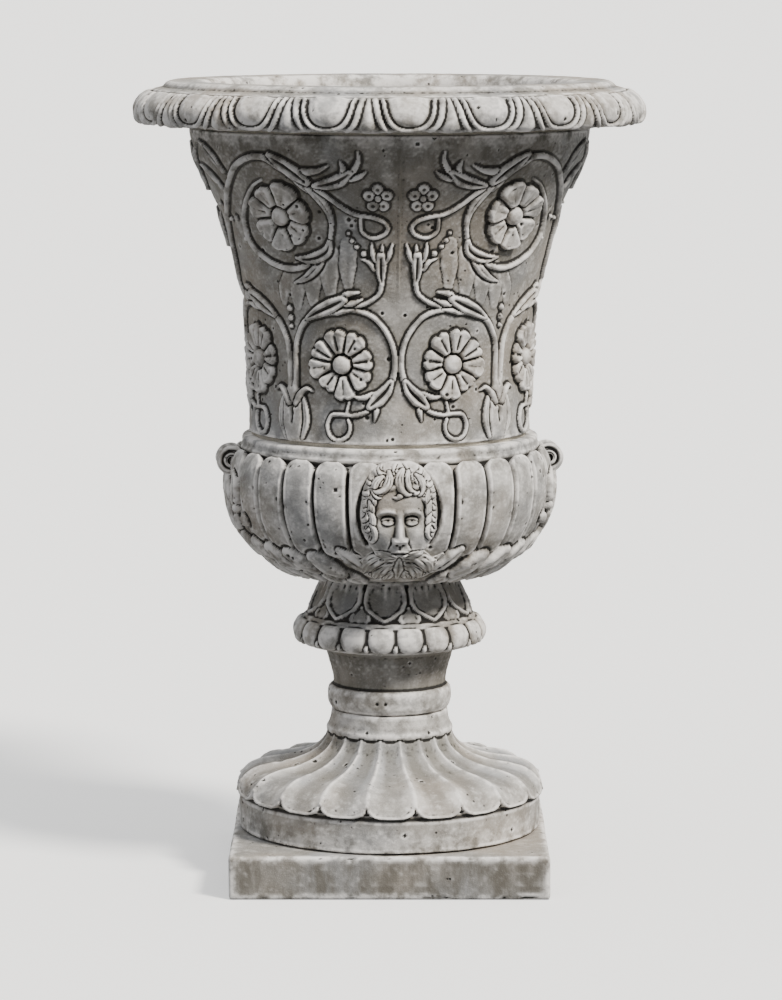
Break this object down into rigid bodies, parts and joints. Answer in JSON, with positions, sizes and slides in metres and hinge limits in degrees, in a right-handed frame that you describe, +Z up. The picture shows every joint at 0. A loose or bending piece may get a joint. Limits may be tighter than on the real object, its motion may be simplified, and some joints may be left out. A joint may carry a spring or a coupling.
{
  "type": "garden vase",
  "caption": "Classical cast-stone garden vase: egg-and-dart rim, flared relief bell, gadrooned bowl with masks, leafy knop stem and fluted foot on a square plinth",
  "frame": {"origin": "middle of the plinth's underside, on the ground", "axes": "+Z up through the stack, -Y towards the front of the plinth, +X to its right as seen from the front"},
  "size_m": [0.4894, 0.4894, 0.762],
  "materials": {
    "cast_stone": "weathered, matt",
    "mortar": "rough",
    "stainless": "mill",
    "galvanised": "hot-dip galvanised",
    "rubber": "matt"
  },
  "bodies": {
    "root": {"plinth": "cast_stone", "foot": "cast_stone", "stem": "cast_stone", "bowl": "cast_stone", "bell": "cast_stone", "rim": "cast_stone", "mask_front": "cast_stone", "mask_back": "cast_stone", "scroll_left": "cast_stone", "scroll_right": "cast_stone", "bell_bed": "mortar", "rim_bed": "mortar", "bell_dowels": "stainless", "rim_dowels": "stainless", "drain_tube": "galvanised", "clamp_nuts": "galvanised", "clamp_washers": "galvanised", "drain_gasket": "rubber"}
  },
  "joints": []
}
